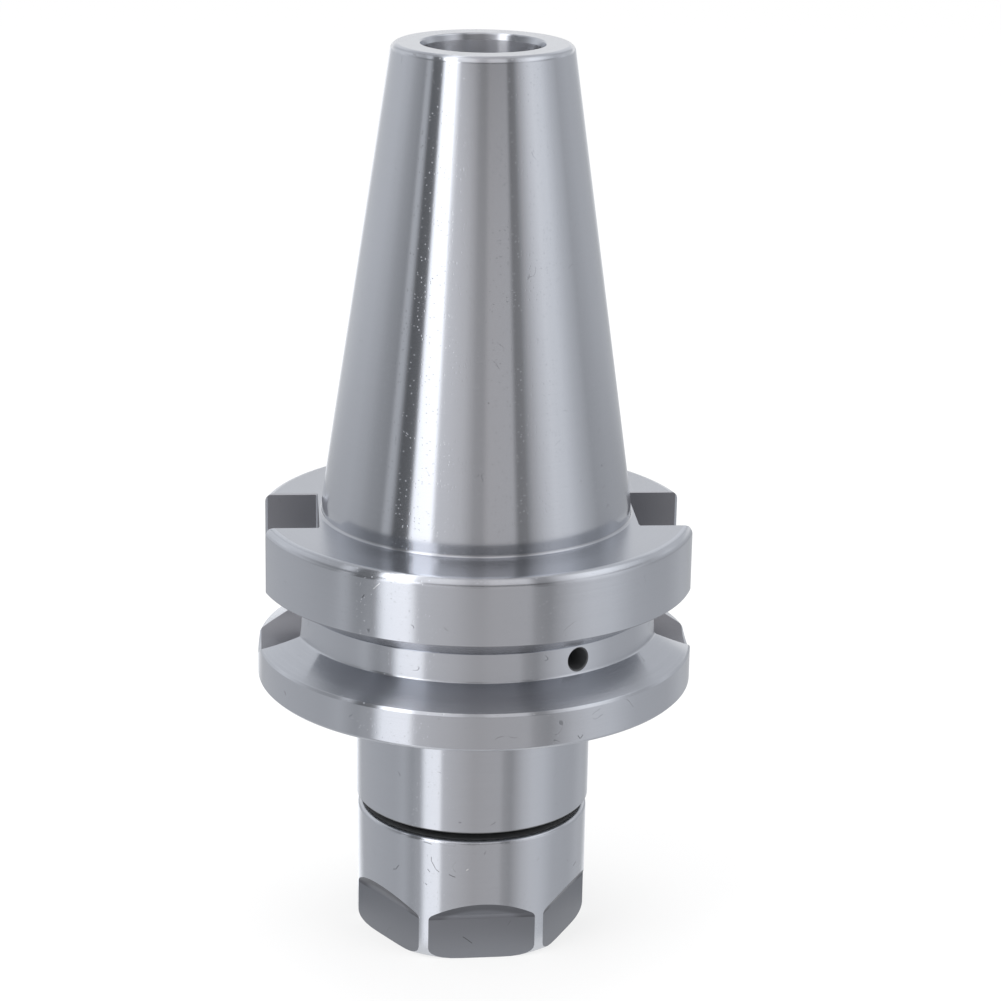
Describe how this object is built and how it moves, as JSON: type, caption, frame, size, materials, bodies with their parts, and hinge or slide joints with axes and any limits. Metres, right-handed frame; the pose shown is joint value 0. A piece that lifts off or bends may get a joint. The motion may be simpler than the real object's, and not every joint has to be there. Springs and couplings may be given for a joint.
{
  "type": "collet chuck holder",
  "caption": "Steep-taper spindle holder with a gripper groove and drive slots, whose nose takes a spring collet closed by a hexagonal clamping nut.",
  "frame": {"origin": "on the holder's axis at the taper's gauge line, where it measures 44.45 mm across", "axes": "+Z along the axis towards the taper's small end, +X towards the middle of one drive slot"},
  "size_m": [0.063, 0.063, 0.1313],
  "materials": {
    "ground_steel": "fine turned and ground",
    "collet_steel": "ground",
    "nut_steel": "fine turned, flats satin"
  },
  "bodies": {
    "holder": {"holder_body": "ground_steel"},
    "collet": {"collet": "collet_steel"},
    "nut": {"clamping_nut": "nut_steel"}
  },
  "joints": [
    {"name": "collet_travel", "type": "slide", "parent": "holder", "child": "collet", "axis": [0, 0, -1], "range_m": [0, 0.0105]},
    {"name": "nut_turn", "type": "hinge", "parent": "collet", "child": "nut", "pos_m": [0, 0, 0], "axis": [0, 0, -1], "range_deg": [0, 2520]}
  ],
  "couplings": [
    {"joint": "nut_turn", "follows": "collet_travel", "rad_per_m": 4188.8}
  ]
}
